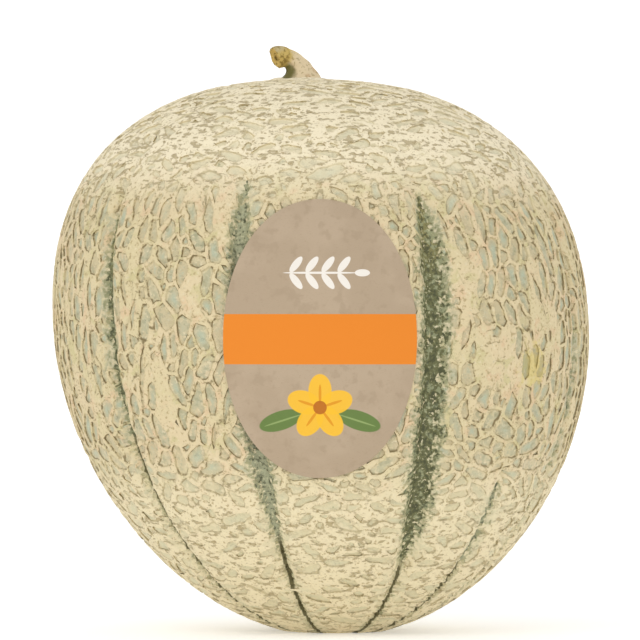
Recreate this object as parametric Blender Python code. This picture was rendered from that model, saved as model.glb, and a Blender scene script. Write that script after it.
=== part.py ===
"""A netted cantaloupe melon: the fruit, the stub of its stalk and an oval paper label.

Metres, +Z up. The fruit stands on its blossom end, and the origin is in the middle of the flat spot
that it stands on. The front, where the label is, faces -Y.
"""

import math
import random

import bmesh
import bpy
import numpy as np
from mathutils import Matrix, Vector
from mathutils.kdtree import KDTree

# The fruit's outline: two half superellipses that meet at the widest girth.
GIRTH_RADIUS = 0.0691  # to the rind, in the meshes of the net
TOP_RISE = 0.0640  # from the girth up to the stalk end
BOTTOM_DROP = 0.0816  # from the girth down to where the blossom end would come to a point
TOP_SQUARENESS = 2.35  # exponents of the superellipses; 2 would be an ellipse
BOTTOM_SQUARENESS = 1.9
GIRTH_HEIGHT = 0.0801  # of the widest girth over the flat spot
FRUIT_HEIGHT = GIRTH_HEIGHT + TOP_RISE
LEAN = 0.047  # sideways lean towards -X, for each unit of height

# The sutures, the long grooves of the rind: (bearing from the front towards +X in degrees,
# half of the width between the two banks, depth under the rind).
SUTURES = (
    (-117.0, 0.0024, 0.0013),
    (-88.0, 0.0019, 0.0011),
    (-52.0, 0.0022, 0.0013),
    (-15.5, 0.0025, 0.0013),
    (25.3, 0.0036, 0.0016),
    (70.0, 0.0019, 0.0012),
    (106.0, 0.0026, 0.0014),
    (142.0, 0.0031, 0.0015),
    (178.0, 0.0023, 0.0012),
    (212.0, 0.0029, 0.0014),
)
SUTURE_START = 0.03  # shares of the fruit's height between which a suture runs
SUTURE_END = 0.93
SUTURE_FLOOR_SHARE = 0.45  # of the width between the banks
SUTURE_STEP = 0.0060  # between the middles of two meshes in the suture itself
RIB_SWELL = 0.0007  # how far the rind swells half way between two sutures
RIB_SHOULDER = 0.0120  # from the suture to where the rib has its full height

# The net: its mesh is about twice as wide as in life, to keep the solid light.
NET_HEIGHT = 0.0009
NET_END_SHARE = 0.3  # of its height that is left at the two ends of the fruit
NET_END_RADIUS = 0.028  # from the fruit's axis to where the net has its full height
NET_SLOPE = 0.0016  # from the crest of a net strand to the rind beside it
NET_GAP = 0.0074  # least distance between the middles of two meshes
MOST_TRIES = 20000
SEED = 11

SHORTEST_RIM_EDGE = 0.0006  # of the flat spot

# The stalk stub, and the corky pad that it grows from.
STALK_FOOT = Vector((-0.0093, 0.0, 0.0))  # its place on the fruit, seen from above
PAD_RADIUS = 0.0074
STALK_GAP = 0.0003
STALK_SIDES = 20
STALK_RIDGES = 5
STALK_RIDGE_SHARE = 0.07  # how far the ridges of the stalk stand out, as a share of its radius
STALK_LEAN = math.radians(110)  # from upright, at the cut end
STALK_BEARING = math.radians(-68)  # towards -X and a little forwards
STALK_LENGTH = 0.0096
STALK_STEPS = 10
STALK_FOOT_RADIUS = 0.0054
STALK_NECK_RADIUS = 0.0024
STALK_NECK_SHARE = 0.7  # of the length, from the foot to the neck
STALK_KNOB_RADIUS = 0.0029
CUT_DISH = 0.0005  # how far the cut end has dried in

# The label, an upright oval measured straight across.
LABEL_WIDTH = 0.0486
LABEL_HEIGHT = 0.0700
LABEL_SQUARENESS = 2.1
LABEL_MIDDLE = 0.0767  # its height over the flat spot
LABEL_SHIFT = -0.0038  # of its middle from X = 0, in line with the fruit's own middle
LABEL_GAP = 0.0003  # over the net
LABEL_THICKNESS = 0.0005
LABEL_SIDES = 48
LABEL_RINGS = 6


def clear_scene():
    for obj in list(bpy.data.objects):
        bpy.data.objects.remove(obj, do_unlink=True)


def add_object(name, bm, material, crease_angle):
    mesh = bpy.data.meshes.new(name)
    bm.to_mesh(mesh)
    bm.free()
    mesh.materials.append(material)
    mesh.shade_smooth()
    mesh.set_sharp_from_angle(angle=math.radians(crease_angle))
    obj = bpy.data.objects.new(name, mesh)
    bpy.context.scene.collection.objects.link(obj)
    return obj


def plain_material(name, colour, roughness):
    material = bpy.data.materials.new(name)
    material.use_nodes = True
    shader = material.node_tree.nodes["Principled BSDF"]
    shader.inputs["Base Color"].default_value = (*colour, 1.0)
    shader.inputs["Roughness"].default_value = roughness
    shader.inputs["Metallic"].default_value = 0.0
    return material


def outline_of(height):
    """(rise, exponent) of the half of the outline that holds this height from the girth."""
    if height > 0:
        return TOP_RISE, TOP_SQUARENESS
    return BOTTOM_DROP, BOTTOM_SQUARENESS


def at_bearing(bearing, across, height):
    turn = math.radians(bearing)
    return Vector((across * math.sin(turn), -across * math.cos(turn), height))


def direction_at(bearing, share):
    """The direction from the fruit's middle to the rind at this bearing and share of its height."""
    height = share * FRUIT_HEIGHT - GIRTH_HEIGHT
    rise, power = outline_of(height)
    across = GIRTH_RADIUS * (1 - (abs(height) / rise) ** power) ** (1 / power)
    return at_bearing(bearing, across, height).normalized()


def reach(direction, lift):
    """Distance from the fruit's middle to its smooth surface, raised by lift."""
    rise, power = outline_of(direction.z)
    across = math.hypot(direction.x, direction.y)
    shares = (across / (GIRTH_RADIUS + lift)) ** power + (abs(direction.z) / (rise + lift)) ** power
    return shares ** (-1 / power)


def radius_at(direction):
    """Distance from the fruit's own axis to its surface in this direction."""
    return reach(direction, 0) * math.hypot(direction.x, direction.y)


def nearest_suture(direction):
    """(signed distance along the rind from the nearest suture, that suture)."""
    bearing = math.degrees(math.atan2(direction.x, -direction.y))
    radius = radius_at(direction)
    found = []
    for suture in SUTURES:
        turn = (bearing - suture[0] + 180) % 360 - 180
        found.append((math.radians(turn) * radius, suture))
    return min(found, key=lambda pair: abs(pair[0]))


def rib_swell(direction):
    """Height of the broad rib between two sutures, none at the two ends of the fruit."""
    distance, _ = nearest_suture(direction)
    across = math.hypot(direction.x, direction.y)
    return RIB_SWELL * across**2 * math.sin(math.pi / 2 * min(1.0, abs(distance) / RIB_SHOULDER))


def rind_point(direction, lift):
    """The point of the leaning fruit in this direction from its middle, raised by lift."""
    point = direction * (reach(direction, lift) + rib_swell(direction))
    point.z += GIRTH_HEIGHT
    point.x -= LEAN * point.z
    return point


def net_height(direction):
    """Height of the net, which lies flatter near the two ends of the fruit."""
    growth = min(1.0, radius_at(direction) / NET_END_RADIUS) ** 2
    return NET_HEIGHT * (NET_END_SHARE + (1 - NET_END_SHARE) * growth)


def suture_strength(direction):
    """1 along most of a suture, less towards its two ends."""
    share = rind_point(direction, 0).z / FRUIT_HEIGHT
    low = (share - SUTURE_START) / 0.10
    high = (SUTURE_END - share) / 0.20
    return max(0.0, min(1.0, low, high))


def suture_middles():
    """Directions of the evenly spaced middles of the meshes in the sutures, and their sutures."""
    middles = []
    owners = []
    for number, (bearing, _, _) in enumerate(SUTURES):
        share = SUTURE_START
        while share < SUTURE_END:
            here = direction_at(bearing, share)
            middles.append(here)
            owners.append(number)
            above = direction_at(bearing, share + 0.01)
            rate = (rind_point(above, 0) - rind_point(here, 0)).length / 0.01
            share += SUTURE_STEP / rate
    return middles, owners


def mesh_middles(kept):
    """Directions of the middles of all meshes: those kept, then random ones that keep apart."""
    draw = random.Random(SEED)
    stalk_end = Vector((STALK_FOOT.x + LEAN * FRUIT_HEIGHT, 0, TOP_RISE)).normalized()
    kept = kept + [stalk_end, Vector((0, 0, -1))]
    places = np.array([rind_point(direction, 0) for direction in kept])
    for _ in range(MOST_TRIES):
        height = draw.uniform(-1, 1)
        turn = draw.uniform(0, 2 * math.pi)
        across = math.sqrt(1 - height * height)
        direction = Vector((across * math.cos(turn), across * math.sin(turn), height))
        place = np.array(rind_point(direction, 0))
        if ((places - place) ** 2).sum(axis=1).min() > NET_GAP**2:
            kept.append(direction)
            places = np.vstack([places, place])
    return kept


def ball_of_meshes(middles):
    """A ball of polygons, one round each middle: the dual of the hull of the middles."""
    bm = bmesh.new()
    for direction in middles:
        bm.verts.new(direction)
    bmesh.ops.convex_hull(bm, input=list(bm.verts))
    hull_edges = list(bm.edges)
    hull_verts = list(bm.verts)
    bmesh.ops.poke(bm, faces=list(bm.faces))
    bmesh.ops.rotate_edges(bm, edges=hull_edges)
    bmesh.ops.dissolve_verts(bm, verts=hull_verts)
    for vert in bm.verts:
        vert.co.normalize()
    return bm


def faces_in_sutures(bm, middles, owners):
    """The faces whose nearest middle lies in a suture, each with the number of that suture."""
    tree = KDTree(len(middles))
    for number, direction in enumerate(middles):
        tree.insert(direction, number)
    tree.balance()
    found = {}
    for face in bm.faces:
        nearest = tree.find(face.calc_center_median().normalized())[1]
        if nearest < len(owners):
            found[face] = owners[nearest]
    return found


def beside_suture(vert, half_width):
    """Moves a corner sideways to this distance from the suture, on the side where it is."""
    distance, suture = nearest_suture(vert.co)
    turn = math.degrees(half_width / radius_at(vert.co))
    across = math.hypot(vert.co.x, vert.co.y)
    vert.co = at_bearing(suture[0] + math.copysign(turn, distance), across, vert.co.z)


def cut_sutures(bm, owners):
    """Straightens the banks of the sutures and lays a floor between them.

    Returns the lift of each corner on a floor, and the meshes that stay part of the net.
    """
    lifts = {}
    rungs = []
    for edge in bm.edges:
        one, other = edge.link_faces
        if one in owners and owners[one] == owners.get(other):
            rungs.append(edge)
    crossed = [f for rung in rungs for f in rung.link_faces]
    faces = [f for f in owners if crossed.count(f) == 2]
    net_faces = [f for f in bm.faces if f not in set(faces)]
    for vert in {v for f in faces for v in f.verts}:
        _, suture = nearest_suture(vert.co)
        beside_suture(vert, suture[1] * (0.45 + 0.55 * suture_strength(vert.co)))
    for rung in rungs:
        first, last = rung.verts
        _, near_first = bmesh.utils.edge_split(rung, first, 0.3)
        rest = next(e for e in near_first.link_edges if last in e.verts)
        _, near_last = bmesh.utils.edge_split(rest, last, 0.4)
        for vert in (near_first, near_last):
            _, suture = nearest_suture(vert.co)
            strength = suture_strength(vert.co)
            beside_suture(vert, suture[1] * SUTURE_FLOOR_SHARE * (0.45 + 0.55 * strength))
            lifts[vert] = -suture[2] * strength
    for face in faces:
        split_along_floor(face, [v for v in face.verts if v in lifts])
    return lifts, net_faces


def split_along_floor(face, low):
    """Splits a mesh of a suture into its two banks and the floor between them."""
    for side in (1, -1):
        ends = [v for v in low if nearest_suture(v.co)[0] * side > 0]
        owner = next(f for f in ends[0].link_faces if all(v in f.verts for v in low))
        bmesh.utils.face_split(owner, ends[0], ends[1])


def sink_meshes(bm, faces):
    """Insets each mesh of the net; returns where its floor corners lie."""
    floor = {}
    bmesh.ops.inset_individual(bm, faces=faces, thickness=0.001)
    for face in faces:
        middle = sum((v.co for v in face.verts), Vector()) / len(face.verts)
        for vert in face.verts:
            crest = next(e.other_vert(vert) for e in vert.link_edges if e not in face.edges)
            inward = middle - crest.co
            share = min(0.5, NET_SLOPE / GIRTH_RADIUS / inward.length)
            floor[vert] = (crest.co + inward * share).normalized()
    return floor


def build_melon():
    in_sutures, owners = suture_middles()
    middles = mesh_middles(in_sutures)
    bm = ball_of_meshes(middles)
    lifts, net_faces = cut_sutures(bm, faces_in_sutures(bm, middles, owners))
    floor = sink_meshes(bm, net_faces)
    for vert in bm.verts:
        if vert in floor:
            vert.co = rind_point(floor[vert], 0)
        else:
            vert.co = rind_point(vert.co, lifts.get(vert, net_height(vert.co)))
    flatten_pad(bm)
    flatten_foot(bm)
    return bm


def pad_height():
    """Height of the flat pad that the stalk grows from."""
    return GIRTH_HEIGHT + TOP_RISE + NET_HEIGHT


def flatten_pad(bm):
    """The corky pad under the stalk is level, with no net on it."""
    for vert in bm.verts:
        aside = math.hypot(vert.co.x - STALK_FOOT.x, vert.co.y - STALK_FOOT.y)
        if vert.co.z > GIRTH_HEIGHT and aside < PAD_RADIUS:
            vert.co.z = pad_height()


def flatten_foot(bm):
    """The flat spot at the blossom end: what would reach below it is cut off level."""
    everything = list(bm.verts) + list(bm.edges) + list(bm.faces)
    cut = bmesh.ops.bisect_plane(
        bm, geom=everything, plane_co=(0, 0, 0), plane_no=(0, 0, -1), clear_outer=True
    )["geom_cut"]
    rim = [v for v in cut if isinstance(v, bmesh.types.BMVert)]
    bmesh.ops.remove_doubles(bm, verts=rim, dist=SHORTEST_RIM_EDGE)
    open_edges = [e for e in bm.edges if e.is_boundary]
    bmesh.ops.holes_fill(bm, edges=open_edges, sides=0)


def stalk_direction(share):
    """Direction of the stalk at this share of its length: it rises, then bends over."""
    lean = STALK_LEAN * share**1.1
    aside = math.sin(lean)
    return Vector((aside * math.sin(STALK_BEARING), -aside * math.cos(STALK_BEARING), math.cos(lean)))


def stalk_radius(share):
    """A flared foot, a neck beyond the middle of the length, and a knob at the cut end."""
    past_neck = max(0.0, (share - STALK_NECK_SHARE) / (1 - STALK_NECK_SHARE))
    foot = (STALK_FOOT_RADIUS - STALK_NECK_RADIUS) * (1 - min(share / STALK_NECK_SHARE, 1.0)) ** 2.4
    knob = (STALK_KNOB_RADIUS - STALK_NECK_RADIUS) * past_neck**0.6
    return STALK_NECK_RADIUS + foot + knob


def stalk_ring(bm, middle, along, radius):
    """One turn of the stalk, square to its own direction, with its lengthwise ridges."""
    turned = Vector((0, 0, 1)).rotation_difference(along).to_matrix().to_4x4()
    made = bmesh.ops.create_circle(
        bm, cap_ends=False, radius=1.0, segments=STALK_SIDES, matrix=Matrix.Identity(4)
    )["verts"]
    for vert in made:
        turn = math.atan2(vert.co.y, vert.co.x)
        ridge = 1 + STALK_RIDGE_SHARE * math.cos(STALK_RIDGES * turn)
        vert.co = middle + turned @ (vert.co * radius * ridge)
    return list({e for v in made for e in v.link_edges})


def build_stalk():
    bm = bmesh.new()
    middle = Vector((STALK_FOOT.x, STALK_FOOT.y, pad_height() + STALK_GAP))
    rings = []
    for step in range(STALK_STEPS + 1):
        share = step / STALK_STEPS
        along = stalk_direction(share)
        rings.append(stalk_ring(bm, middle, along, stalk_radius(share)))
        middle = middle + along * (STALK_LENGTH / STALK_STEPS)
    for lower, upper in zip(rings, rings[1:]):
        bmesh.ops.bridge_loops(bm, edges=lower + upper)
    bmesh.ops.holes_fill(bm, edges=[e for e in bm.edges if e.is_boundary], sides=0)
    cut = max((f for f in bm.faces if len(f.verts) > 4), key=lambda f: f.calc_center_median().z)
    bmesh.ops.inset_region(bm, faces=[cut], thickness=STALK_KNOB_RADIUS / 3, depth=-CUT_DISH)
    bmesh.ops.recalc_face_normals(bm, faces=list(bm.faces))
    return bm


def label_point(across, height, lift):
    """The point of the label that is this far right of and above its middle, seen from the front."""
    z = LABEL_MIDDLE + height
    x = LABEL_SHIFT + across + LEAN * z
    y = -GIRTH_RADIUS
    # The direction is found by a few steps, because the rind's reach depends on it.
    for _ in range(8):
        direction = Vector((x, y, z - GIRTH_HEIGHT)).normalized()
        distance = reach(direction, lift) + RIB_SWELL
        y = -math.sqrt(distance**2 - x**2 - (z - GIRTH_HEIGHT) ** 2)
    return Vector((x - LEAN * z, y, z))


def oval_share(place):
    """How far the oval reaches past a circle in this direction."""
    size = max(place.length, 1e-9)
    shares = abs(place.x / size) ** LABEL_SQUARENESS + abs(place.y / size) ** LABEL_SQUARENESS
    return max(shares, 1e-9) ** (-1 / LABEL_SQUARENESS)


def build_label():
    bm = bmesh.new()
    bmesh.ops.create_circle(bm, cap_ends=True, radius=1.0, segments=LABEL_SIDES)
    middle = next(iter(bm.faces))
    for _ in range(LABEL_RINGS - 1):
        bmesh.ops.inset_individual(bm, faces=[middle], thickness=1.0 / LABEL_RINGS)
    bmesh.ops.poke(bm, faces=[middle])
    sheet = bmesh.ops.extrude_face_region(bm, geom=list(bm.faces))["geom"]
    outer = {v for v in sheet if isinstance(v, bmesh.types.BMVert)}
    for vert in bm.verts:
        squareness = oval_share(vert.co)
        across = vert.co.x * squareness * LABEL_WIDTH / 2
        height = vert.co.y * squareness * LABEL_HEIGHT / 2
        lift = NET_HEIGHT + LABEL_GAP + (LABEL_THICKNESS if vert in outer else 0.0)
        vert.co = label_point(across, height, lift)
    bmesh.ops.recalc_face_normals(bm, faces=list(bm.faces))
    return bm


clear_scene()
add_object("melon", build_melon(), plain_material("rind_and_net", (0.60, 0.52, 0.35), 0.75), 28)
add_object("stem", build_stalk(), plain_material("stalk", (0.42, 0.33, 0.14), 0.8), 40)
add_object("label", build_label(), plain_material("kraft_paper", (0.50, 0.39, 0.28), 0.85), 40)
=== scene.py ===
"""Looks of a netted cantaloupe melon with the stub of its stalk and an oval paper label."""

import math
import random
from collections import namedtuple

import bmesh
import bpy
import numpy as np
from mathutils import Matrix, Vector, noise


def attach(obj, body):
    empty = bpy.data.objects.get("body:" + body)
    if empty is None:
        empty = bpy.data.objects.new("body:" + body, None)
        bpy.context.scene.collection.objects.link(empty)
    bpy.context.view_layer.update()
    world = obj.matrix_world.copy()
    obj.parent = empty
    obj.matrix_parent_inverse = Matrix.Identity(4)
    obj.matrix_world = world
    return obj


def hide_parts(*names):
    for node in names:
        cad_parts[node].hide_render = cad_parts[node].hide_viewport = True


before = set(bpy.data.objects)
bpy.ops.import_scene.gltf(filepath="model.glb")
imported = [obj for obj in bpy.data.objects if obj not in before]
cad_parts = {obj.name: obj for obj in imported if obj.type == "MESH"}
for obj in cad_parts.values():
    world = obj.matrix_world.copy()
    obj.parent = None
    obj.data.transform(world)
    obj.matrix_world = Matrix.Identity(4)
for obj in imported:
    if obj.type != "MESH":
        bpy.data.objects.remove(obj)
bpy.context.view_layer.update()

# The fruit. One grown body: a firm, smooth grey-green rind that cracked as the fruit swelled, with
# pale cork grown out of the cracks as a raised net. Ten sutures run down it, and a faint one low down.
# The wider ones are bare bands of dark green skin, which draw in to thin creases at the blossom end.
GIRTH_RADIUS = 0.0691
TOP_RISE = 0.0640  # from the girth up
BOTTOM_DROP = 0.0816  # from the girth down, a little past the flat spot
TOP_SQUARENESS = 2.35
BOTTOM_SQUARENESS = 1.9
GIRTH_HEIGHT = 0.0801
FRUIT_HEIGHT = GIRTH_HEIGHT + TOP_RISE
LEAN = 0.047  # to the left, for each unit of height
# Bearing in degrees, half width between the banks, depth, half width of the bare band, its top end,
# the height under which it is no more than a dark crease, and how dark its green is.
Suture = namedtuple("Suture", "bearing bank depth band_width band_top crease_top darkness")
SUTURES = [
    Suture(-117.0, 0.0024, 0.0013, 0.0017, 0.105, 0.030, 0.7),
    Suture(-88.0, 0.0019, 0.0011, 0.0009, 0.100, 0.044, 0.5),
    Suture(-51.0, 0.0022, 0.0013, 0.0010, 0.112, 0.050, 0.85),
    Suture(-16.2, 0.0025, 0.0013, 0.0020, 0.118, 0.024, 0.32),
    Suture(24.5, 0.0036, 0.0016, 0.0030, 0.114, 0.017, 1.0),
    Suture(70.0, 0.0019, 0.0012, 0.0009, 0.090, 0.040, 0.6),
    Suture(106.0, 0.0026, 0.0014, 0.0022, 0.110, 0.028, 0.8),
    Suture(142.0, 0.0031, 0.0015, 0.0028, 0.112, 0.022, 0.9),
    Suture(178.0, 0.0023, 0.0012, 0.0014, 0.104, 0.034, 0.6),
    Suture(212.0, 0.0029, 0.0014, 0.0025, 0.110, 0.026, 0.9),
    Suture(48.5, 0.0017, 0.0008, 0.0008, 0.046, 0.018, 0.4),
]
FAINT_SUTURE = SUTURES[-1]  # the last one has closed up over its upper part
FAINT_TOP = 0.050
FAINT_FADE = 0.010  # the height over which it closes up
CREASE_BANK = 0.0006  # from the crease to the middles of the granules on its two banks
CREASE_STEP = 0.0013  # between two granules of a bank
SUTURE_WANDER = 0.8  # degrees to either side
WANDER_WAVES = 55
WANDER_SHIFT = 2.1  # from one suture's waves to the next one's
GROOVE_ENDS = (0.03, 0.93)  # of every groove, as shares of the fruit's height
GROOVE_FADES = (0.10, 0.20)  # and how far from them it has its full depth
GROOVE_SLOPE = 0.6  # share of its half width that its side takes
BAND_TAPER = 0.020  # the height over which a bare band narrows, to its crease and to its top
BAND_TIP = 0.004  # how far its last granules reach past its top end
RAGGED_HEIGHT = 0.060  # from here on up a band's sides are fully ragged
RIB_SWELL = 0.0007  # how far the rind stands out between two sutures
RIB_SHOULDER = 0.0120  # and how far from a suture it does so in full
NET_HEIGHT = 0.00062  # from the bare rind to the crest of a strand
NET_END_SHARE = 0.5  # of that height, which the net has at both ends of the fruit
NET_END_RADIUS = 0.028  # from here on out it has all of it
MESH_GAP = 0.0028  # between the middles of two meshes, before some are joined
LONG_STRAND = 0.0019  # a strand between two joints that is longer than this sags in the middle
STRAND_DRIFT = 0.0080  # how far the strands wander to and fro, as a share of the fruit's radius
STRAND_WAVES = 30
GRAIN_GAP = 0.00105  # between two granules of a bare band
GRAIN_START = 0.003  # height of the lowest granules
GRAIN_TRIES = 2600  # for each suture
WIDEST_GRAIN_BAND = 0.0036  # a narrower band gets fewer of the tries
GRAIN_MARGIN = 0.0006  # but none of them gets fewer than a band of this half width
MESH_TRIES = 52000
MOST_MIDDLES = 20000
WALL_WAVES = 45  # the sides of a mesh are drawn in unevenly
THIN_CORK = 0.00052  # half width of a net strand where the net is open
THICK_CORK = 0.00130  # and where it has nearly closed over
LEAST_ROOM = 0.0003  # from the middle of a mesh to its nearest side; a smaller one has grown shut
MOST_FOOT = 0.8  # of that room, which the foot of the walls may take
CROWN_SHARE = 0.62  # how far in the walls' crowns lie, as a share of their feet
CREST_LEVEL = 0.92  # of the strands, as a share of the net's height
CROWN_LEVEL = 0.92  # as a share of the crest beside it
SHUT_LEVEL = 0.94  # of a mesh that has grown shut
BANK_LEVEL = 0.9  # of the granules on the banks of a crease
BAND_RIND = 0.3  # what open_rind says in a bare band
UPPER_CORK = (0.100, 0.122)  # heights between which the cork closes over towards the stalk
LOWER_CORK = (0.056, 0.030)  # and towards the blossom end
FLANK_FOOT = (0.040, 0.056)  # heights between which broad meshes give way to tall ones
FLANK_TOP = (0.122, 0.108)  # and the same at the upper end
JOINED_SHARES = (0.72, 0.16)  # of the meshes, in two rounds
PAD_HEIGHT = 0.1450  # of the corky collar that the stalk grows from
PAD_MIDDLE = Vector((-0.0093, 0.0))
PAD_RADIUS = 0.0058
PAD_SLOPE = 0.0032  # how wide the slope round the collar is
PAD_SINK = 0.0003  # so that the net on the collar stays inside the solid's
PAD_NET_SHARE = 0.4
SCAR_RADIUS = 0.0048  # of the ring that the blossom left
SCAR_RISE = 0.0004
SCAR_SLOPE = (0.0009, 0.0002)  # from the middle of the ring to its foot and to its crest
STAIN_MIDDLE = (0.0499, -0.0435, 0.0698)
STAIN_REACH = 0.0070  # from its middle to its edge
STAIN_HEART = 0.0025


def outline_of(height):
    if height > 0:
        return TOP_RISE, TOP_SQUARENESS
    return BOTTOM_DROP, BOTTOM_SQUARENESS


def reach(direction, lift=0.0):
    """Distance from the fruit's middle to its smooth surface, raised by lift."""
    rise, power = outline_of(direction.z)
    across = math.hypot(direction.x, direction.y)
    shares = (across / (GIRTH_RADIUS + lift)) ** power + (abs(direction.z) / (rise + lift)) ** power
    return shares ** (-1 / power)


def ramp(value, start, end):
    """0 at start, 1 at end, with eased ends."""
    share = max(0.0, min(1.0, (value - start) / (end - start)))
    return share * share * (3 - 2 * share)


def bearing_of(number, height):
    """Bearing in degrees of the middle of a suture, which wanders a little on its way up."""
    wave = math.sin(WANDER_WAVES * height + WANDER_SHIFT * number)
    return SUTURES[number].bearing + SUTURE_WANDER * wave


def beside_suture(direction):
    """(distance along the rind to the right of the nearest suture, that suture, radius, height)."""
    distance = reach(direction)
    radius = distance * math.hypot(direction.x, direction.y)
    height = distance * direction.z + GIRTH_HEIGHT
    bearing = math.degrees(math.atan2(direction.x, -direction.y))
    best = None
    for number, suture in enumerate(SUTURES):
        turn = (bearing - bearing_of(number, height) + 180) % 360 - 180
        there = suture is not FAINT_SUTURE or height < FAINT_TOP
        if best is None or there and abs(turn) < abs(best[0]):
            best = (turn, suture)
    return math.radians(best[0]) * radius, best[1], radius, height


def nearest_suture(direction):
    """The same, with a distance that is never under zero."""
    aside, suture, radius, height = beside_suture(direction)
    return abs(aside), suture, radius, height


def bare_width(suture, height):
    """Half width of the bare band: a thin crease low down, ragged sides, none near the stalk."""
    opened = ramp(height, suture.crease_top, suture.crease_top + BAND_TAPER)
    spread = CREASE_BANK + (suture.band_width - CREASE_BANK) * opened
    waves = 0.45 * noise.noise(Vector((suture.bearing, 0, 330 * height)))
    ragged = 1 + waves * ramp(height, suture.crease_top, RAGGED_HEIGHT)
    return spread * ragged * ramp(suture.band_top - height, -BAND_TIP, BAND_TAPER)


def surface_point(direction, lift):
    """The point of the leaning, ribbed and grooved fruit in this direction, raised by lift."""
    aside, suture, radius, height = nearest_suture(direction)
    share = height / FRUIT_HEIGHT
    from_foot = (share - GROOVE_ENDS[0]) / GROOVE_FADES[0]
    from_top = (GROOVE_ENDS[1] - share) / GROOVE_FADES[1]
    strength = max(0.0, min(1.0, from_foot, from_top))
    bank = suture.bank * (0.45 + 0.55 * strength)
    lasting = ramp(height, FAINT_TOP, FAINT_TOP - FAINT_FADE) if suture is FAINT_SUTURE else 1.0
    dip = lasting * (1 - math.sin(math.pi / 2 * min(1, aside / RIB_SHOULDER)))
    rib = RIB_SWELL * (radius / GIRTH_RADIUS) ** 2 * (1 - dip)
    groove = suture.depth * strength * lasting * ramp(bank - aside, 0.0, GROOVE_SLOPE * bank)
    point = direction * (reach(direction, lift) + rib - groove)
    point.z += GIRTH_HEIGHT
    point.x -= LEAN * point.z
    from_stalk = (point.xy - PAD_MIDDLE).length
    if point.z > GIRTH_HEIGHT:
        collar = ramp(from_stalk, PAD_RADIUS + PAD_SLOPE, PAD_RADIUS)
        point.z += (PAD_HEIGHT + PAD_NET_SHARE * lift - PAD_SINK - point.z) * collar
    elif point.z < SCAR_RISE:
        ring = ramp(abs(point.xy.length - SCAR_RADIUS), *SCAR_SLOPE)
        point.z = max(point.z, 0.0) + SCAR_RISE * ring
    return point


def cork_cover(direction):
    """How far the cork has closed over the rind: most at both ends of the fruit, in patches elsewhere."""
    height = reach(direction) * direction.z + GIRTH_HEIGHT
    patches = noise.noise(direction * 3.4) * 0.30 + noise.noise(direction * 9.0) * 0.20
    ends = 0.68 * ramp(height, *UPPER_CORK) + 0.60 * ramp(height, *LOWER_CORK)
    return max(0.0, min(1.0, 0.14 + ends + patches))


def direction_near(suture, height, aside):
    """The direction to the rind at this height, this far to one side of a suture."""
    level = height - GIRTH_HEIGHT
    rise, power = outline_of(level)
    across = GIRTH_RADIUS * (1 - (abs(level) / rise) ** power) ** (1 / power)
    bearing = math.radians(bearing_of(SUTURES.index(suture), height))
    bearing += aside / across
    return Vector((across * math.sin(bearing), -across * math.cos(bearing), level)).normalized()


def mesh_middles():
    """Middles of the granules in the bare bands and of the meshes of the net, kept apart."""
    draw = random.Random(5)
    kept = []
    places = np.full((MOST_MIDDLES, 3), 9.0)

    def plant(direction, gap):
        place = np.array(surface_point(direction, 0))
        if ((places[: len(kept)] - place) ** 2).sum(axis=1).min(initial=9.0) > gap * gap:
            places[len(kept)] = place
            kept.append(direction)

    for suture in SUTURES:
        height = GRAIN_START
        while height < suture.crease_top:
            for side in (-1, 1):
                plant(direction_near(suture, height, side * CREASE_BANK), 0.9 * CREASE_BANK)
            # The rind slopes here, so a step along it gains less height than its length.
            here, above = (direction_near(suture, height + more, 0) for more in (0, 0.001))
            rise = (surface_point(above, 0) - surface_point(here, 0)).length
            height += CREASE_STEP * 0.001 / rise
        for _ in range(GRAIN_TRIES):
            height = draw.uniform(suture.crease_top, suture.band_top + BAND_TIP)
            width = bare_width(suture, height)
            if draw.random() * WIDEST_GRAIN_BAND < width + GRAIN_MARGIN:
                plant(direction_near(suture, height, draw.uniform(-1, 1) * width), GRAIN_GAP)
    for _ in range(MESH_TRIES):
        level = draw.uniform(-1, 1)
        turn = draw.uniform(0, 2 * math.pi)
        across = math.sqrt(1 - level * level)
        direction = Vector((across * math.cos(turn), across * math.sin(turn), level))
        aside, suture, _, height = nearest_suture(direction)
        width = bare_width(suture, height)
        if aside > width:
            size = 1 + 0.30 * noise.noise(direction * 8) + 0.25 * noise.noise(direction * 27)
            crowd = 0.56 + 0.44 * ramp(aside - width, -0.0005, 1.3 * width + 0.0010)
            plant(direction, MESH_GAP * size * crowd)
    return kept


def ball_of_meshes(middles):
    """A ball of polygons, one round each middle: the dual of the hull of the middles."""
    bm = bmesh.new()
    for direction in middles:
        bm.verts.new(direction)
    bmesh.ops.convex_hull(bm, input=list(bm.verts))
    hull_edges = list(bm.edges)
    hull_verts = list(bm.verts)
    bmesh.ops.poke(bm, faces=list(bm.faces))
    bmesh.ops.rotate_edges(bm, edges=hull_edges)
    bmesh.ops.dissolve_verts(bm, verts=hull_verts)
    for vert in bm.verts:
        vert.co.normalize()
    return bm


def is_bare(face):
    """Whether this mesh lies in the bare band of a suture."""
    aside, suture, _, height = nearest_suture(face.calc_center_median().normalized())
    width = bare_width(suture, height)
    return width > 0.0003 and aside < width + 0.0002


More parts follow.
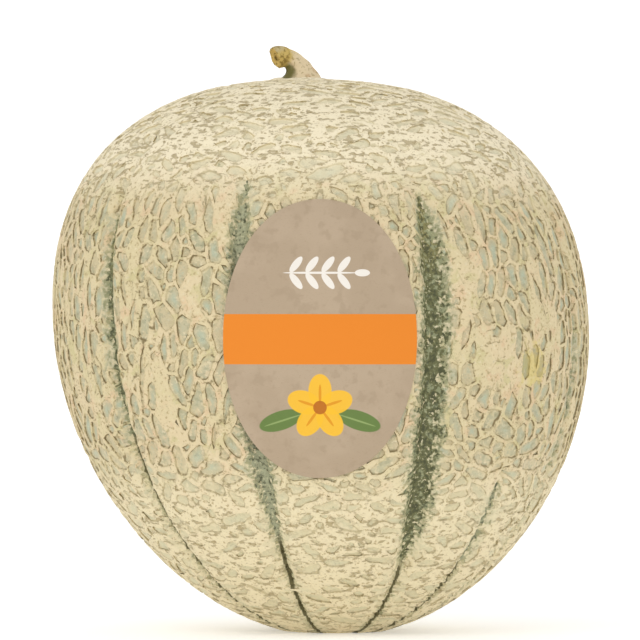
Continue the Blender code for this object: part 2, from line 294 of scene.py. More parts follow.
def join_meshes(bm, share, draw):
    """Joins pairs of meshes, mostly into tall ones on the flanks and broad ones at both ends."""
    bare = {f for f in bm.faces if is_bare(f)}
    scored = []
    for edge in bm.edges:
        if not bare.intersection(edge.link_faces):
            place = (edge.verts[0].co + edge.verts[1].co).normalized()
            across = math.hypot(place.x, place.y) + 1e-6
            uphill = Vector((-place.z * place.x / across, -place.z * place.y / across, across))
            run = edge.verts[1].co - edge.verts[0].co
            steep = abs(run.dot(uphill)) / max(run.length, 1e-6)
            height = reach(place) * place.z + GIRTH_HEIGHT
            flank = ramp(height, *FLANK_FOOT) * ramp(height, *FLANK_TOP)
            # Level sides go first on the flanks, steep ones towards both ends.
            weak = 0.25 + steep + flank * (1 - 2 * steep)
            scored.append((draw.random() * weak * (0.65 + 0.35 * flank), edge))
    scored.sort(key=lambda pair: -pair[0])
    taken = set()
    chosen = []
    for _, edge in scored:
        one, other = edge.link_faces
        lone = len(set(one.edges).intersection(other.edges)) == 1
        if lone and one not in taken and other not in taken:
            chosen.append(edge)
            taken.update((one, other))
        if len(taken) > share * (len(bm.faces) - len(bare)):
            break
    bmesh.ops.dissolve_edges(bm, edges=chosen, use_verts=False)
    for vert in bm.verts:
        if len(vert.link_edges) == 2:
            ends = [e.other_vert(vert).co for e in vert.link_edges]
            vert.co = vert.co.lerp((ends[0] + ends[1]) / 2, 0.6).normalized()


def sides_of(corners):
    """The middle of a mesh, its sides as (start, direction inwards, distance to the middle)."""
    middle = sum(corners, Vector()) / len(corners)
    up = middle.normalized()
    sides = []
    for here, there in zip(corners, corners[1:] + corners[:1]):
        inward = up.cross(there - here).normalized()
        sides.append((here, inward, (middle - here).dot(inward)))
    return middle, sides


def wall_line(corners, width):
    """The corners of a mesh, drawn in so that its sides move inwards, by about width but unevenly."""
    middle, sides = sides_of(corners)
    room = min(side[2] for side in sides)
    for squarely in (True, False):
        line = []
        for number, corner in enumerate(corners):
            drawn = corner
            if squarely:
                before, after = sides[number - 1][1], sides[number][1]
                here = min(width * (1 + 0.7 * noise.noise(corner * WALL_WAVES)), 0.9 * room)
                drawn = corner + (before + after) * (here / max(0.4, 1 + before.dot(after)))
            share = 1.0
            for start, inward, distance in sides:
                left = distance - (drawn - start).dot(inward)
                if left > distance - 0.6 * width:
                    share = min(share, (distance - 0.6 * width) / left)
            line.append(middle.lerp(drawn, share))
        turns = [(a - middle).cross(b - middle).dot(middle) for a, b in zip(line, line[1:] + line[:1])]
        if min(turns) > 0:
            break
    return line


def ring_inside(bm, faces, widths, roots):
    """Insets each mesh; the new corners stand where its net corners, drawn in by its width, do."""
    bmesh.ops.inset_individual(bm, faces=faces, thickness=0.0001)
    made = []
    for face in faces:
        inner = list(face.verts)
        outer = []
        for vert in inner:
            side = next(e for e in vert.link_edges if e not in face.edges)
            outer.append(roots.get(side.other_vert(vert), side.other_vert(vert)))
        line = wall_line([net_corner[v] for v in outer], widths[face])
        for vert, root, place in zip(inner, outer, line):
            vert.co = place.normalized()
            roots[vert] = root
        made += inner
    return made


draw = random.Random(8)
noise.seed_set(8)  # noise_vector would start from the clock
bm = ball_of_meshes(mesh_middles())
for share in JOINED_SHARES:
    join_meshes(bm, share, draw)
net = bm.verts.layers.float.new("net")  # 1 on the crest of a strand, 0 on the rind
open_rind = bm.verts.layers.float.new("open_rind")  # up to 1 in the middle of a mesh
film = bm.verts.layers.float.new("film")  # how far thin cork has spread over the floor of a mesh
cover = bm.verts.layers.float.new("cover")  # how far the cork has closed over the rind
across = bm.verts.layers.float.new("across")  # -1 at the left edge of a bare band or crease, 1 at the right
near_band = bm.verts.layers.float.new("near_band")  # 1 in the band, fading out beside it
low = bm.verts.layers.float.new("low")  # 1 where the suture is a crease
dark_green = bm.verts.layers.float.new("dark_green")  # how dark the green of the nearest band is
long_strands = [e for e in bm.edges if e.calc_length() > LONG_STRAND / GIRTH_RADIUS]
sagging = set(bmesh.ops.bisect_edges(bm, edges=long_strands, cuts=1)["geom_split"])
bare_faces = [f for f in bm.faces if is_bare(f)]
bare_set = set(bare_faces)
for vert in bm.verts:
    bareness = sum(f in bare_set for f in vert.link_faces) / len(vert.link_faces)
    speck = draw.random() ** 5 * 0.9
    crest = CREST_LEVEL + 0.14 * noise.noise(vert.co * 60)
    if vert in sagging:
        crest -= 0.35 * draw.random() ** 2
    vert[net] = bareness * speck + (1 - bareness) * crest
    vert[open_rind] = BAND_RIND * bareness
net_corner = {v: v.co.copy() for v in bm.verts}
open_faces = []
closed_faces = []
foot_width = {}
crown_width = {}
floor_level = {}
floor_film = {}
# How each mesh of the net has grown: shut, a slit, or open with a floor of its own level.
for face in bm.faces:
    if face not in bare_set:
        middle = face.calc_center_median().normalized()
        room = min(side[2] for side in sides_of([v.co for v in face.verts])[1])
        closing = cork_cover(middle)
        aside, suture, _, height = nearest_suture(middle)
        crowd = ramp(aside, 0.0, 2.2 * bare_width(suture, height) + 0.0012)
        width = (THIN_CORK + (THICK_CORK - THIN_CORK) * closing) * (0.6 + 0.4 * crowd)
        width *= draw.uniform(0.75, 1.2) / reach(middle)
        chance = draw.random()
        slit = chance < 0.08 + 1.6 * (closing - 0.38)  # its walls nearly meet
        if room < LEAST_ROOM / GIRTH_RADIUS or chance < 0.45 * (closing - 0.45):
            closed_faces.append(face)
        else:
            open_faces.append(face)
            foot_width[face] = MOST_FOOT * room if slit else min(width, MOST_FOOT * room)
            crown_width[face] = CROWN_SHARE * foot_width[face]
            floor_level[face] = draw.uniform(0.0, 0.30) + (0.0 if slit else 0.25 * closing)
            floor_film[face] = min(1.0, max(0.0, draw.uniform(-0.4, 0.9) + 0.5 * closing))
roots = {}
for vert in ring_inside(bm, open_faces, crown_width, roots):
    vert[net] = CROWN_LEVEL * roots[vert][net]
ring_inside(bm, open_faces, foot_width, roots)
for face in open_faces:
    for vert in face.verts:
        vert[net] = floor_level[face]
        vert[film] = floor_film[face]
for vert in bmesh.ops.poke(bm, faces=open_faces)["verts"]:
    rim = [e.other_vert(vert) for e in vert.link_edges]
    vert[net] = rim[0][net]
    vert[film] = rim[0][film]
    vert[open_rind] = draw.uniform(0.2, 1.0)
for vert in bmesh.ops.poke(bm, faces=closed_faces)["verts"]:
    vert[net] = SHUT_LEVEL
for vert in bmesh.ops.poke(bm, faces=bare_faces)["verts"]:
    _, suture, _, height = nearest_suture(vert.co.normalized())
    on_bank = height < suture.crease_top
    vert[net] = BANK_LEVEL if on_bank else (0.7 if draw.random() < 0.08 else 0.0)
    vert[open_rind] = BAND_RIND
# The ball is laid on the fruit, which gives every point its place and its height over the rind.
for vert in bm.verts:
    direction = (vert.co + STRAND_DRIFT * noise.noise_vector(vert.co * STRAND_WAVES)).normalized()
    aside, suture, radius, height = beside_suture(direction)
    width = bare_width(suture, height)
    vert[cover] = cork_cover(direction)
    vert[dark_green] = suture.darkness
    vert[across] = max(-4.0, min(4.0, aside / max(width, 0.0002)))
    vert[low] = ramp(height, suture.crease_top + 0.004, suture.crease_top - 0.002)
    vert[near_band] = ramp(abs(aside), 2.0 * width + 0.0012, 0.9 * width) * ramp(width, 0.0001, 0.0004)
    crease = vert[low] * ramp(abs(aside), 0.0004, 0.0002)
    band = (1 - vert[low]) * ramp(abs(aside), width + 0.0006, width - 0.0003)
    # Beside a crease the cork is one unbroken bank.
    if vert[low] > 0.5 and crease < 0.5 and abs(aside) < 0.0016:
        vert[net] = max(vert[net], 0.85)
    growth = NET_END_SHARE + (1 - NET_END_SHARE) * min(1.0, radius / NET_END_RADIUS) ** 2
    level = vert[net] * (1 - 0.5 * band) * (1 - crease) - 0.6 * crease
    vert.co = surface_point(direction, NET_HEIGHT * growth * level)
mesh = bpy.data.meshes.new("melon_skin")
bm.to_mesh(mesh)
bm.free()
mesh.shade_smooth()
mesh.set_sharp_from_angle(angle=math.radians(55))
melon_skin = bpy.data.objects.new("melon_skin", mesh)
bpy.context.scene.collection.objects.link(melon_skin)


def from_hex(code):
    """Linear colour of an sRGB hex value."""
    parts = [int(code[place : place + 2], 16) / 255 for place in (0, 2, 4)]
    return [p / 12.92 if p <= 0.04045 else ((p + 0.055) / 1.055) ** 2.4 for p in parts] + [1.0]


def add_node(tree, kind, sockets=None, **settings):
    """Adds a node with its settings; a socket is given a value or another node's output."""
    node = tree.nodes.new(kind)
    for name, value in settings.items():
        setattr(node, name, value)
    for socket, value in (sockets or {}).items():
        if isinstance(value, bpy.types.NodeSocket):
            tree.links.new(value, node.inputs[socket])
        else:
            node.inputs[socket].default_value = value
    return node


# Melon skin, grown. The rind is smooth and slightly waxy, grey-green with a faint blue bloom, and in
# many meshes a thin film of beige cork has spread over it. The net's cork is dry and matt, cream with
# pinkish and greenish patches and fine dark cracks. The foot of a strand's steep side is painted with olive
# brown shade, which draws a broken line along the mesh. Bare bands are dark green and mottled.
skin = bpy.data.materials.new("melon_skin_cork_and_rind")
skin.use_nodes = True
tree = skin.node_tree
shader = tree.nodes["Principled BSDF"]
place = add_node(tree, "ShaderNodeTexCoord").outputs["Object"]
look = {"height": add_node(tree, "ShaderNodeSeparateXYZ", {0: place}).outputs["Z"]}
# A yellow stain on the right flank, a few millimetres across, where the cork has been rubbed.
sockets = {0: place, 1: STAIN_MIDDLE}
look["from_stain"] = add_node(tree, "ShaderNodeVectorMath", sockets, operation="DISTANCE").outputs["Value"]
for name in ("net", "open_rind", "film", "cover", "across", "near_band", "low", "dark_green"):
    look[name] = add_node(tree, "ShaderNodeAttribute", attribute_name=name).outputs["Fac"]
look["aside"] = add_node(tree, "ShaderNodeMath", {0: look["across"]}, operation="ABSOLUTE").outputs[0]
# The blotches of each size, in metres, and how much flatter than wide they are.
for name, size, flatness in (
    ("patches", 0.016, 1.0),
    ("blotches", 0.005, 1.0),
    ("mottling", 0.0016, 1.0),
    ("flecks", 0.0009, 1.0),
    ("slits", 0.0026, 2.8),
):
    sockets = {"Vector": place, "Scale": (1.0, 1.0, flatness)}
    flattened = add_node(tree, "ShaderNodeMapping", sockets).outputs[0]
    sockets = {"Vector": flattened, "Scale": 1 / size, "Detail": 3.0}
    look[name] = add_node(tree, "ShaderNodeTexNoise", sockets).outputs[0]
# Edges are ragged: a value is shifted to and fro by the blotches before it is read, this far.
for name, source, shift, size in (
    ("ragged_net", "net", "flecks", 0.9),
    ("ragged_film", "film", "mottling", 1.6),
    ("ragged_open", "open_rind", "mottling", 1.3),
    ("ragged_open", "ragged_open", "flecks", 0.8),
    ("ragged_near", "near_band", "mottling", 2.0),
    ("ragged_near", "ragged_near", "flecks", 2.0),
    ("ragged_aside", "aside", "mottling", -2.4),
    ("ragged_aside", "ragged_aside", "flecks", -2.4),
    ("slits_here", "slits", "cover", 0.16),
    ("from_stain", "from_stain", "mottling", 0.012),
):
    sockets = {0: look[shift], 1: 0.5}
    away = add_node(tree, "ShaderNodeMath", sockets, operation="SUBTRACT").outputs[0]
    sockets = {0: away, 1: size, 2: look[source]}
    look[name] = add_node(tree, "ShaderNodeMath", sockets, operation="MULTIPLY_ADD").outputs[0]
# A band is bare from edge to edge down to the crease, and the crease takes its place from there.
for name, source, start, end in (
    ("in_band", "ragged_aside", 1.10, 0.85),
    ("in_crease", "aside", 1.15, 0.55),
    ("above", "low", 1.0, 0.0),
    ("beside", "near_band", 0.0, 0.25),
    ("crack", "slits_here", 0.60, 0.68),
):
    sockets = {"Value": look[source], "From Min": start, "From Max": end}
    look[name] = add_node(tree, "ShaderNodeMapRange", sockets, interpolation_type="SMOOTHSTEP").outputs[0]
for name, other in (
    ("in_band", "above"),
    ("in_band", "beside"),
    ("in_crease", "low"),
    ("in_crease", "beside"),
):
    sockets = {0: look[name], 1: look[other]}
    look[name] = add_node(tree, "ShaderNodeMath", sockets, operation="MULTIPLY").outputs[0]
# The scar that the blossom left, round the middle of the foot, which reaches less far up than out.
sockets = {0: place, 1: (1.0, 1.0, 1.4)}
raised = add_node(tree, "ShaderNodeVectorMath", sockets, operation="MULTIPLY").outputs[0]
look["from_foot"] = add_node(tree, "ShaderNodeVectorMath", {0: raised}, operation="LENGTH").outputs["Value"]
# Each coat of colour: the layer it is laid on, the mask it follows, from which value to which, how
# strong it is, and its colour or the layer that it is made of. So cork, the painted shade at the foot of
# the walls and green are finished before they are laid on the rind.
layers = {
    "cork": from_hex("D8C99F"),
    "rind": from_hex("BAB492"),
    "green": from_hex("676842"),
    # painted shade: the base colour of the shade painted at the foot of the strands' walls
    "wall_foot_shade": from_hex("C2B38A"),
}
for coat, mask, start, end, strength, colour in (
    ("cork", "patches", 0.40, 0.60, 1.0, "DCCAA3"),
    ("cork", "blotches", 0.55, 0.68, 0.7, "DABD97"),
    ("cork", "blotches", 0.44, 0.34, 0.8, "CCC190"),
    ("cork", "height", 0.052, 0.032, 0.8, "EADDB9"),
    ("cork", "height", 0.108, 0.126, 0.9, "F6EACB"),
    ("cork", "flecks", 0.55, 0.68, 0.8, "B09C72"),
    ("cork", "flecks", 0.42, 0.28, 0.7, "EBDEBC"),
    ("cork", "crack", 0.00, 1.00, 0.7, "A08E64"),
    # painted shade: dark olive brown patches of shade at the foot of the walls, paler towards both ends
    ("wall_foot_shade", "mottling", 0.46, 0.53, 0.95, "7A6840"),
    ("wall_foot_shade", "height", 0.052, 0.032, 0.55, "CFC199"),
    ("wall_foot_shade", "height", 0.104, 0.122, 0.75, "DED0A8"),
    ("cork", "ragged_near", 0.50, 0.90, 0.5, "A5A37A"),
    ("cork", "from_stain", STAIN_REACH, STAIN_HEART, 0.6, "D6C471"),
    ("green", "height", 0.088, 0.104, 0.7, "928A58"),
    ("green", "mottling", 0.53, 0.62, 0.7, "9CA07C"),
    ("green", "dark_green", 1.00, 0.20, 0.75, "A9AA8B"),
    ("green", "mottling", 0.46, 0.38, 0.8, "484A2E"),
    ("green", "flecks", 0.53, 0.62, 0.7, "45482F"),
    ("green", "flecks", 0.42, 0.34, 0.7, "C4C09A"),
    ("rind", "blotches", 0.40, 0.60, 1.0, "C1B896"),
    ("rind", "open_rind", 0.20, 0.70, 0.7, "B0BBA3"),
    ("rind", "ragged_film", 0.30, 0.80, 0.85, "C9B992"),
    ("rind", "mottling", 0.54, 0.64, 0.6, "A2A080"),
    ("rind", "flecks", 0.44, 0.34, 0.5, "CFC7A6"),
    ("rind", "height", 0.052, 0.032, 0.7, "E0D6B0"),
    ("rind", "height", 0.104, 0.122, 0.75, "E9DFBD"),
    ("rind", "ragged_open", 0.18, 0.02, 0.60, "cork"),
    # painted shade, laid in a broken line along the foot of each mesh's walls
    ("rind", "open_rind", 0.05, 0.00, 0.90, "wall_foot_shade"),
    ("rind", "from_stain", STAIN_REACH, STAIN_HEART, 0.6, "B5A55E"),
    ("rind", "ragged_near", 0.55, 0.90, 0.7, "8A8B62"),
    ("rind", "in_band", 0.00, 1.00, 1.0, "green"),
    ("rind", "ragged_net", 0.50, 0.84, 1.0, "cork"),
    # partly painted shade: the crease is the band's dark skin drawn in, made darker still as shade in its
    # groove
    ("rind", "in_crease", 0.00, 1.00, 0.95, "5C5634"),
    ("rind", "from_foot", SCAR_RADIUS + 0.0006, SCAR_RADIUS - 0.0004, 0.85, "A88F63"),
    ("rind", "from_foot", 0.0016, 0.0008, 0.9, "6E5A3A"),
):
    sockets = {"Value": look[mask], "From Min": start, "From Max": end, "To Max": strength}
    share = add_node(tree, "ShaderNodeMapRange", sockets, interpolation_type="SMOOTHSTEP").outputs[0]
    other = layers[colour] if colour in layers else from_hex(colour)
    sockets = {0: share, 6: layers[coat], 7: other}
    layers[coat] = add_node(tree, "ShaderNodeMix", sockets, data_type="RGBA").outputs[2]
tree.links.new(layers["rind"], shader.inputs["Base Color"])
sockets = {"Value": look["net"], "From Min": 0.2, "From Max": 0.8, "To Min": 0.52, "To Max": 0.82}
tree.links.new(add_node(tree, "ShaderNodeMapRange", sockets).outputs[0], shader.inputs["Roughness"])
shader.inputs["Specular IOR Level"].default_value = 0.35
sockets = {0: look["flecks"], 1: look["mottling"]}
relief = add_node(tree, "ShaderNodeMath", sockets, operation="ADD").outputs[0]
sockets = {0: look["crack"], 1: -0.6, 2: relief}
relief = add_node(tree, "ShaderNodeMath", sockets, operation="MULTIPLY_ADD").outputs[0]
sockets = {"Strength": 0.7, "Distance": 0.0004, "Height": relief}
tree.links.new(add_node(tree, "ShaderNodeBump", sockets).outputs[0], shader.inputs["Normal"])
mesh.materials.append(skin)
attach(melon_skin, "root")
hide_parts("melon")

# The stalk stub. A short piece of fibrous stalk, left on the fruit when it was cut, bent over to the
# left. It is grown on, with cork creeping up its outer side from the fruit. The inner side of the bend
# is coloured dark olive green, and the swollen cut end has dried to a golden brown with dark fibre ends.
STALK_FOOT = Vector((-0.0093, 0.0, 0.14455))
STALK_SIDES = 60
STALK_STEPS = 44
STALK_LENGTH = 0.0103
STALK_LEAN = math.radians(110)  # of its cut end, from upright
STALK_BEARING = math.radians(-68)  # that it bends over to, from the front
STALK_FOOT_RADIUS = 0.0059
STALK_NECK_RADIUS = 0.0024
STALK_NECK_SHARE = 0.7  # how far along it is thinnest
STALK_KNOB_RADIUS = 0.0029
CUT_RINGS = 8
CUT_RING_WIDTH = STALK_KNOB_RADIUS * 0.105
CUT_RING_SINK = 0.00007  # how much deeper each ring of the cut end lies than the last one
FIBRE_HEIGHT = 0.00022
FIBRE_WAVES = 1900
PITH_DEPTH = 0.0003  # of the small pit in the middle
bm = bmesh.new()
along_stalk = bm.verts.layers.float.new("along_stalk")  # 0 at the foot, 1 at the cut end
inner_side = bm.verts.layers.float.new("inner_side")  # 1 under the bend, -1 on its outer side
cut_face = bm.verts.layers.float.new("cut_face")  # 1 on the cut end
middle = STALK_FOOT.copy()
rings = []
for step in range(STALK_STEPS + 1):
    share = step / STALK_STEPS
    lean = STALK_LEAN * share**1.1
    aside = math.sin(lean)
    along = Vector((aside * math.sin(STALK_BEARING), -aside * math.cos(STALK_BEARING), math.cos(lean)))
    past_neck = max(0.0, (share - STALK_NECK_SHARE) / (1 - STALK_NECK_SHARE))
    radius = STALK_NECK_RADIUS
    radius += (STALK_FOOT_RADIUS - STALK_NECK_RADIUS) * max(0.0, 1 - share / STALK_NECK_SHARE) ** 2.4
    radius += (STALK_KNOB_RADIUS - STALK_NECK_RADIUS) * past_neck**0.6 * (1 - 0.25 * past_neck**8)
    turned = Vector((0, 0, 1)).rotation_difference(along).to_matrix()
    inward = turned @ Vector((math.sin(STALK_BEARING), -math.cos(STALK_BEARING), 0))
    made = bmesh.ops.create_circle(bm, cap_ends=False, radius=1.0, segments=STALK_SIDES)["verts"]
    for vert in made:
        turn = math.atan2(vert.co.y, vert.co.x)
        outward = turned @ vert.co
        # Five ridges run along the stalk, with finer ones on them.
        ridge = 1 + 0.06 * math.cos(5 * turn) + 0.025 * math.cos(13 * turn + 2)
        rough = 1 + 0.07 * noise.noise(outward * 2.2 + Vector((0, 0, 5 * share)))
        vert.co = middle + outward * radius * (1 + (ridge * rough - 1) * min(1.0, 0.3 + 3 * share))
        vert[along_stalk] = share
        vert[inner_side] = inward.dot(outward)
    rings.append(list({e for v in made for e in v.link_edges}))
    middle = middle + along * (STALK_LENGTH / STALK_STEPS)
for lower, upper in zip(rings, rings[1:]):
    bmesh.ops.bridge_loops(bm, edges=lower + upper)
bmesh.ops.holes_fill(bm, edges=[e for e in bm.edges if e.is_boundary], sides=0)
cut = max((f for f in bm.faces if len(f.verts) > 4), key=lambda f: f.calc_center_median().z)
for _ in range(CUT_RINGS):
    bmesh.ops.inset_individual(bm, faces=[cut], thickness=CUT_RING_WIDTH)
    for vert in cut.verts:
        vert[cut_face] = 1.0
        vert[along_stalk] = 1.0
        fibres = noise.noise(vert.co * FIBRE_WAVES) * FIBRE_HEIGHT
        vert.co += along * (fibres - CUT_RING_SINK)
for vert in bmesh.ops.poke(bm, faces=[cut])["verts"]:
    vert[cut_face] = 1.0
    vert[along_stalk] = 1.0
    vert.co -= along * PITH_DEPTH
bmesh.ops.recalc_face_normals(bm, faces=list(bm.faces))
mesh = bpy.data.meshes.new("stalk_stub")
bm.to_mesh(mesh)
bm.free()
mesh.shade_smooth()
mesh.set_sharp_from_angle(angle=math.radians(50))
stalk_stub = bpy.data.objects.new("stalk_stub", mesh)
bpy.context.scene.collection.objects.link(stalk_stub)

# Dried stalk: cream cork on the outer side, dark olive green under the bend, and a golden brown
# cut end with darker fibre ends. All of it is dry and rough.
stalk_skin = bpy.data.materials.new("dried_stalk_and_cork")
stalk_skin.use_nodes = True
tree = stalk_skin.node_tree
shader = tree.nodes["Principled BSDF"]
place = add_node(tree, "ShaderNodeTexCoord").outputs["Object"]
look = {}
for name in ("along_stalk", "inner_side", "cut_face"):
    look[name] = add_node(tree, "ShaderNodeAttribute", attribute_name=name).outputs["Fac"]
for name, size in (("patches", 0.0032), ("flecks", 0.0009)):
    sockets = {"Vector": place, "Scale": 1 / size, "Detail": 3.0}
    look[name] = add_node(tree, "ShaderNodeTexNoise", sockets).outputs[0]
shift = add_node(tree, "ShaderNodeMath", {0: look["patches"], 1: 0.5}, operation="SUBTRACT").outputs[0]
for name, size in (("along_stalk", 0.35), ("inner_side", 1.0)):
    sockets = {0: shift, 1: size, 2: look[name]}
    look[name] = add_node(tree, "ShaderNodeMath", sockets, operation="MULTIPLY_ADD").outputs[0]
sockets = {0: look["inner_side"], 1: -1.0}
outer = add_node(tree, "ShaderNodeMath", sockets, operation="MULTIPLY", use_clamp=True).outputs[0]
sockets = {"Value": look["along_stalk"], "From Min": 0.7, "From Max": 0.9}
tip = add_node(tree, "ShaderNodeMapRange", sockets).outputs[0]
look["outer_tip"] = add_node(tree, "ShaderNodeMath", {0: outer, 1: tip}, operation="MULTIPLY").outputs[0]
stalk_colour = from_hex("DCC9A4")
for mask, start, end, strength, colour in (
    ("patches", 0.52, 0.64, 0.8, "C6A983"),
    ("flecks", 0.55, 0.68, 0.7, "A08C62"),
    ("inner_side", 0.30, 0.75, 0.95, "666330"),
    ("along_stalk", 0.52, 0.70, 1.0, "C6AC63"),
    ("outer_tip", 0.20, 0.70, 0.7, "B9AD8A"),
    ("cut_face", 0.10, 0.90, 1.0, "CCAE62"),
):
    sockets = {"Value": look[mask], "From Min": start, "From Max": end, "To Max": strength}
    share = add_node(tree, "ShaderNodeMapRange", sockets, interpolation_type="SMOOTHSTEP").outputs[0]
    sockets = {0: share, 6: stalk_colour, 7: from_hex(colour)}
    stalk_colour = add_node(tree, "ShaderNodeMix", sockets, data_type="RGBA").outputs[2]
# Dark specks on the part that has dried.
sockets = {"Value": look["flecks"], "From Min": 0.50, "From Max": 0.62, "To Max": 0.75}
share = add_node(tree, "ShaderNodeMapRange", sockets, interpolation_type="SMOOTHSTEP").outputs[0]
sockets = {"Value": look["along_stalk"], "From Min": 0.5, "From Max": 0.8}
dried = add_node(tree, "ShaderNodeMapRange", sockets).outputs[0]
share = add_node(tree, "ShaderNodeMath", {0: share, 1: dried}, operation="MULTIPLY").outputs[0]
sockets = {0: share, 6: stalk_colour, 7: from_hex("7A642B")}
stalk_colour = add_node(tree, "ShaderNodeMix", sockets, data_type="RGBA").outputs[2]
tree.links.new(stalk_colour, shader.inputs["Base Color"])
shader.inputs["Roughness"].default_value = 0.8
shader.inputs["Specular IOR Level"].default_value = 0.3
sockets = {"Strength": 0.7, "Distance": 0.0004, "Height": look["flecks"]}
tree.links.new(add_node(tree, "ShaderNodeBump", sockets).outputs[0], shader.inputs["Normal"])
mesh.materials.append(stalk_skin)
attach(stalk_stub, "root")
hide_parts("stem")

# The label. An oval of thin uncoated kraft paper, printed with an orange band, a white sprig over it
# and a yellow blossom under it. It is glued on and bends round the fruit, on the crests of the net.
LABEL_WIDTH = 0.0486
LABEL_HEIGHT = 0.0700
LABEL_SQUARENESS = 2.1
LABEL_MIDDLE = 0.0767  # height of its middle
LABEL_SHIFT = -0.0038  # of its middle, to the left of the foot's
LABEL_LIFT = NET_HEIGHT + 0.00012  # so that it lies on the highest crests
PAPER_THICKNESS = 0.00016
PAPER_WAVES = 0.00006  # how far the paper stands off the net here and there
LABEL_SIDES = 144
LABEL_RINGS = 20
DEPTH_STEPS = 8
bm = bmesh.new()
bmesh.ops.create_circle(bm, cap_ends=True, radius=1.0, segments=LABEL_SIDES)
middle = next(iter(bm.faces))
for _ in range(LABEL_RINGS - 1):
    bmesh.ops.inset_individual(bm, faces=[middle], thickness=1.0 / LABEL_RINGS)
bmesh.ops.poke(bm, faces=[middle])
sheet = bmesh.ops.extrude_face_region(bm, geom=list(bm.faces))["geom"]
outer = {v for v in sheet if isinstance(v, bmesh.types.BMVert)}
for vert in bm.verts:
    size = max(vert.co.length, 1e-9)
    shares = abs(vert.co.x / size) ** LABEL_SQUARENESS + abs(vert.co.y / size) ** LABEL_SQUARENESS
    squareness = max(shares, 1e-9) ** (-1 / LABEL_SQUARENESS)
    z = LABEL_MIDDLE + vert.co.y * squareness * LABEL_HEIGHT / 2
    x = LABEL_SHIFT + vert.co.x * squareness * LABEL_WIDTH / 2
    lift = LABEL_LIFT + (PAPER_THICKNESS if vert in outer else 0.0)
    lift += PAPER_WAVES * noise.noise(Vector((x, 0, z)) * 260)
    # The depth is found by a few steps, because the rind's reach depends on the direction.
    upright = x + LEAN * z
    y = -GIRTH_RADIUS
    for _ in range(DEPTH_STEPS):
        direction = Vector((upright, y, z - GIRTH_HEIGHT)).normalized()
        y = -math.sqrt((reach(direction, lift) + RIB_SWELL) ** 2 - upright**2 - (z - GIRTH_HEIGHT) ** 2)
    vert.co = Vector((x, y, z))
bmesh.ops.recalc_face_normals(bm, faces=list(bm.faces))
mesh = bpy.data.meshes.new("paper_label")
bm.to_mesh(mesh)
bm.free()
mesh.shade_smooth()
mesh.set_sharp_from_angle(angle=math.radians(40))
paper_label = bpy.data.objects.new("paper_label", mesh)
bpy.context.scene.collection.objects.link(paper_label)

# Printed kraft paper: matt, a dull grey-brown with faint clouds and darker fibres. The inks are thin,
# so the paper's clouds show through them a little.
paper = bpy.data.materials.new("printed_kraft_paper")
paper.use_nodes = True
tree = paper.node_tree
shader = tree.nodes["Principled BSDF"]
place = add_node(tree, "ShaderNodeTexCoord").outputs["Object"]
label_colour = from_hex("B09C83")
for size, stretch, start, end, strength, colour in (
    (0.011, 1.0, 0.42, 0.62, 0.8, "B7A38A"),
    (0.0030, 1.0, 0.46, 0.34, 0.5, "A69279"),
    (0.0006, 5.0, 0.60, 0.72, 0.5, "998469"),
):
    fibre = add_node(tree, "ShaderNodeMapping", {"Vector": place, "Scale": (1.0, 1.0, stretch)}).outputs[0]
    sockets = {"Vector": fibre, "Scale": 1 / size, "Detail": 3.0}
    cloud = add_node(tree, "ShaderNodeTexNoise", sockets).outputs[0]
    sockets = {"Value": cloud, "From Min": start, "From Max": end, "To Max": strength}
    share = add_node(tree, "ShaderNodeMapRange", sockets, interpolation_type="SMOOTHSTEP").outputs[0]
    sockets = {0: share, 6: label_colour, 7: from_hex(colour)}
    label_colour = add_node(tree, "ShaderNodeMix", sockets, data_type="RGBA").outputs[2]
ORANGE_BAND = (0.0703, 0.0829)  # its lower and upper edge
height = add_node(tree, "ShaderNodeSeparateXYZ", {0: place}).outputs["Z"]
middle = sum(ORANGE_BAND) / 2
sockets = {0: height, 1: middle, 2: (ORANGE_BAND[1] - ORANGE_BAND[0]) / 2}
share = add_node(tree, "ShaderNodeMath", sockets, operation="COMPARE").outputs[0]
sockets = {0: share, 6: label_colour, 7: from_hex("E58526")}
label_colour = add_node(tree, "ShaderNodeMix", sockets, data_type="RGBA").outputs[2]
# Each printed oval: its middle and turn in the plane of the label, half length, half width, colour.
SPRIG_UP = 0.0165
BLOSSOM_UP = -0.0172
LEAF_UP = -0.0205
PETALS = 5
WHITE_INK = "EFE9DF"
INK_COVER = 0.93  # the rest is the paper that shows through
prints = [(0.0, SPRIG_UP, 90, 0.0092, 0.00028, WHITE_INK)]
for pair in range(4):
    for side in (-1, 1):
        across = -0.0066 + 0.0040 * pair
        up = SPRIG_UP + side * 0.0021
        prints.append((across + 0.0006, up, 90 - side * 52, 0.0024, 0.0009, WHITE_INK))
prints.append((0.0106, SPRIG_UP, 90, 0.0019, 0.0009, WHITE_INK))
for side in (-1, 1):
    prints.append((side * 0.0098, LEAF_UP, 90 + side * 18, 0.0056, 0.0024, "5E7B3A"))
    prints.append((side * 0.0094, LEAF_UP, 90 + side * 18, 0.0048, 0.00022, "91A566"))
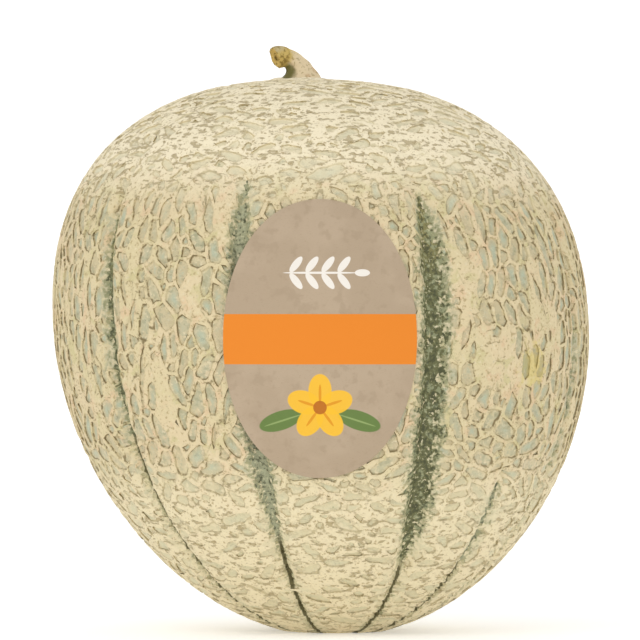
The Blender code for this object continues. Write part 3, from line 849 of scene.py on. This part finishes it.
# The petals, and then a line down the middle of each.
for out, length, width, colour in (
    (0.0042, 0.0042, 0.0029, "F2BC2E"),
    (0.0034, 0.0024, 0.00035, "DD9420"),
):
    for petal in range(PETALS):
        turn = 360 / PETALS * petal
        across = out * math.sin(math.radians(turn))
        up = BLOSSOM_UP + out * math.cos(math.radians(turn))
        prints.append((across, up, turn, length, width, colour))
prints.append((0.0, BLOSSOM_UP, 0, 0.0017, 0.0017, "B5661D"))
for across, up, turn, length, width, colour in prints:
    sockets = {
        "Vector": place,
        "Location": (LABEL_SHIFT + across, 0.0, LABEL_MIDDLE + up),
        "Rotation": (0.0, math.radians(turn), 0.0),
        "Scale": (width, 1e6, length),
    }
    local = add_node(tree, "ShaderNodeMapping", sockets, vector_type="TEXTURE").outputs[0]
    edge = add_node(tree, "ShaderNodeVectorMath", {0: local}, operation="LENGTH").outputs["Value"]
    sockets = {"Value": edge, "From Min": 1.03, "From Max": 0.97, "To Max": INK_COVER}
    share = add_node(tree, "ShaderNodeMapRange", sockets).outputs[0]
    sockets = {0: share, 6: label_colour, 7: from_hex(colour)}
    label_colour = add_node(tree, "ShaderNodeMix", sockets, data_type="RGBA").outputs[2]
tree.links.new(label_colour, shader.inputs["Base Color"])
shader.inputs["Roughness"].default_value = 0.75
shader.inputs["Specular IOR Level"].default_value = 0.3
mesh.materials.append(paper)
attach(paper_label, "root")
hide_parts("label")

# The floor and the studio round the fruit: a white sweep of card, which rises in a curve behind it.
bm = bmesh.new()
SWEEP_START = 3.2  # how far behind the fruit the card begins to rise
SWEEP_BEND = 0.6  # radius of the curve that it rises in
SWEEP_SIZE = 5.5  # half of its width and length
bmesh.ops.create_grid(bm, x_segments=2, y_segments=120, size=SWEEP_SIZE)
for vert in bm.verts:
    past = vert.co.y - SWEEP_START
    if past > 0:
        turn = min(past / SWEEP_BEND, math.pi / 2)
        vert.co.y = SWEEP_START + SWEEP_BEND * math.sin(turn)
        vert.co.z = SWEEP_BEND * (1 - math.cos(turn)) + max(0.0, past - SWEEP_BEND * math.pi / 2)
mesh = bpy.data.meshes.new("sweep")
bm.to_mesh(mesh)
bm.free()
mesh.shade_smooth()
card = bpy.data.materials.new("white_card")
card.use_nodes = True
shader = card.node_tree.nodes["Principled BSDF"]
shader.inputs["Base Color"].default_value = from_hex("F6F6F6")
shader.inputs["Roughness"].default_value = 0.9
shader.inputs["Emission Color"].default_value = from_hex("FFFFFF")
shader.inputs["Emission Strength"].default_value = 0.30
mesh.materials.append(card)
sweep = bpy.data.objects.new("sweep", mesh)
bpy.context.scene.collection.objects.link(sweep)

# Light: a white room all round, one large soft lamp in front, above and to the left, and a weaker
# one in front and to the right. Both are turned to the fruit.
LIT_POINT = Vector((0, 0, 0.08))
scene = bpy.context.scene
scene.view_settings.view_transform = "Standard"
world = bpy.data.worlds.new("white_room")
scene.world = world
world.use_nodes = True
world.node_tree.nodes["Background"].inputs["Color"].default_value = from_hex("FFFFFF")
world.node_tree.nodes["Background"].inputs["Strength"].default_value = 0.82
for name, place, size, power in (
    ("key", Vector((-0.6, -1.3, 1.1)), 0.9, 4.8),
    ("fill", Vector((0.9, -1.4, 0.3)), 0.9, 1.3),
):
    lamp = bpy.data.lights.new(name, "AREA")
    lamp.size = size
    lamp.energy = power
    stand = bpy.data.objects.new(name, lamp)
    stand.location = place
    stand.rotation_euler = (LIT_POINT - place).to_track_quat("-Z", "Y").to_euler()
    scene.collection.objects.link(stand)

# Camera: level, at the height of the fruit's middle and square to its front, with a long lens.
VIEW_WIDTH = 0.1677  # at the fruit's middle
CAMERA_DISTANCE = 1.5
CAMERA_HEIGHT = 0.0814
CAMERA_SIDE = -0.0038
camera = bpy.data.objects.new("camera", bpy.data.cameras.new("camera"))
camera.data.lens = camera.data.sensor_width * CAMERA_DISTANCE / VIEW_WIDTH
camera.location = (CAMERA_SIDE, -CAMERA_DISTANCE, CAMERA_HEIGHT)
camera.rotation_euler = (math.pi / 2, 0, 0)
scene.collection.objects.link(camera)
scene.camera = camera
